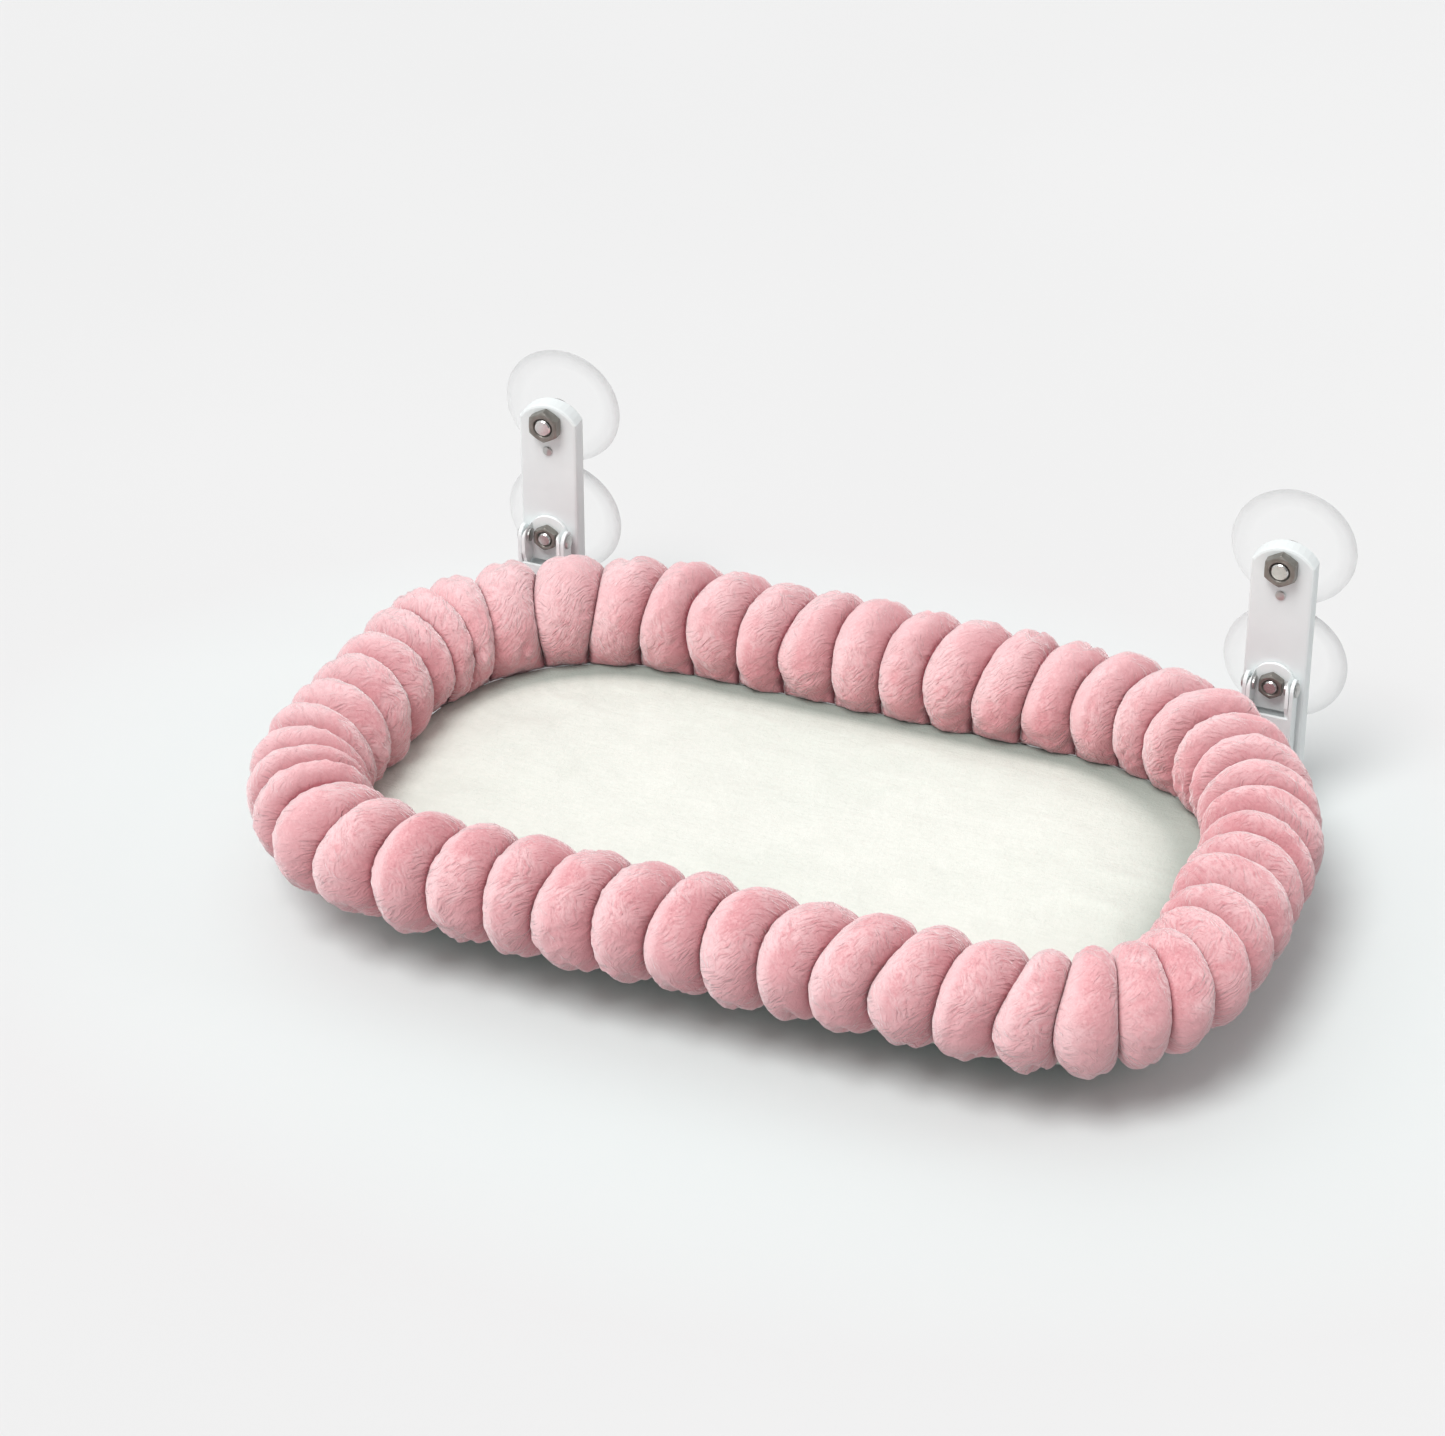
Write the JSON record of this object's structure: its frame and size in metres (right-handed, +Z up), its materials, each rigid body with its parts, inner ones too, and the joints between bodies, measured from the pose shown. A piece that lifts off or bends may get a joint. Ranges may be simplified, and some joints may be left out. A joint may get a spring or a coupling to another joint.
{
  "type": "cat window hammock",
  "caption": "Plush nest bed on a steel ring, carried by two folding arms on brackets that hold to a window pane with suction cups.",
  "frame": {"origin": "on the window pane, midway between the two brackets, at the height of the upper suction cups", "axes": "+X along the window, towards the right when facing the pane from the room; +Y through the pane, away from the room; +Z up"},
  "size_m": [0.557, 0.3635, 0.1888],
  "materials": {
    "powder_coat": "satin",
    "clear_pvc": "gloss",
    "bright_steel": "polished",
    "dark_steel": "polished",
    "zinc_steel": "satin",
    "grey_rubber": "matte",
    "white_plastic": "satin",
    "pink_plush": "matte",
    "cream_plush": "matte",
    "sling_cloth": "matte",
    "strap_web": "matte"
  },
  "bodies": {
    "brackets": {"wall_plate_left": "powder_coat", "wall_plate_right": "powder_coat", "upper_suction_cup_left": "clear_pvc", "upper_suction_cup_right": "clear_pvc", "lower_suction_cup_left": "clear_pvc", "lower_suction_cup_right": "clear_pvc", "upper_stud_left": "bright_steel", "upper_stud_right": "bright_steel", "lower_stud_left": "bright_steel", "lower_stud_right": "bright_steel", "upper_nut_left": "dark_steel", "upper_nut_right": "dark_steel", "lower_nut_left": "dark_steel", "lower_nut_right": "dark_steel", "plate_rivet_left": "zinc_steel", "plate_rivet_right": "zinc_steel", "hinge_bracket_left": "powder_coat", "hinge_bracket_right": "powder_coat"},
    "bed": {"pivot_rivet_inner_left": "zinc_steel", "pivot_rivet_inner_right": "zinc_steel", "pivot_rivet_outer_left": "zinc_steel", "pivot_rivet_outer_right": "zinc_steel", "arm_left": "powder_coat", "arm_right": "powder_coat", "arm_end_cap_left": "white_plastic", "arm_end_cap_right": "white_plastic", "heel_bumper_left": "grey_rubber", "heel_bumper_right": "grey_rubber", "ring_half_left": "powder_coat", "ring_half_right": "powder_coat", "ring_joint_front": "zinc_steel", "ring_joint_back": "zinc_steel", "ring_saddle_back_left": "white_plastic", "ring_saddle_back_right": "white_plastic", "ring_saddle_front_left": "white_plastic", "ring_saddle_front_right": "white_plastic", "saddle_screw_back_left": "zinc_steel", "saddle_screw_back_right": "zinc_steel", "saddle_screw_front_left": "zinc_steel", "saddle_screw_front_right": "zinc_steel", "sling": "sling_cloth", "mat": "cream_plush", "bolster_left": "pink_plush", "bolster_right": "pink_plush", "tie_strap_front_left": "strap_web", "tie_strap_front_right": "strap_web", "tie_strap_back_left": "strap_web", "tie_strap_back_right": "strap_web"}
  },
  "joints": [
    {"name": "bed_fold", "type": "hinge", "parent": "brackets", "child": "bed", "pos_m": [0, -0.03, -0.071], "axis": [-1, 0, 0], "range_deg": [0, 78]}
  ]
}
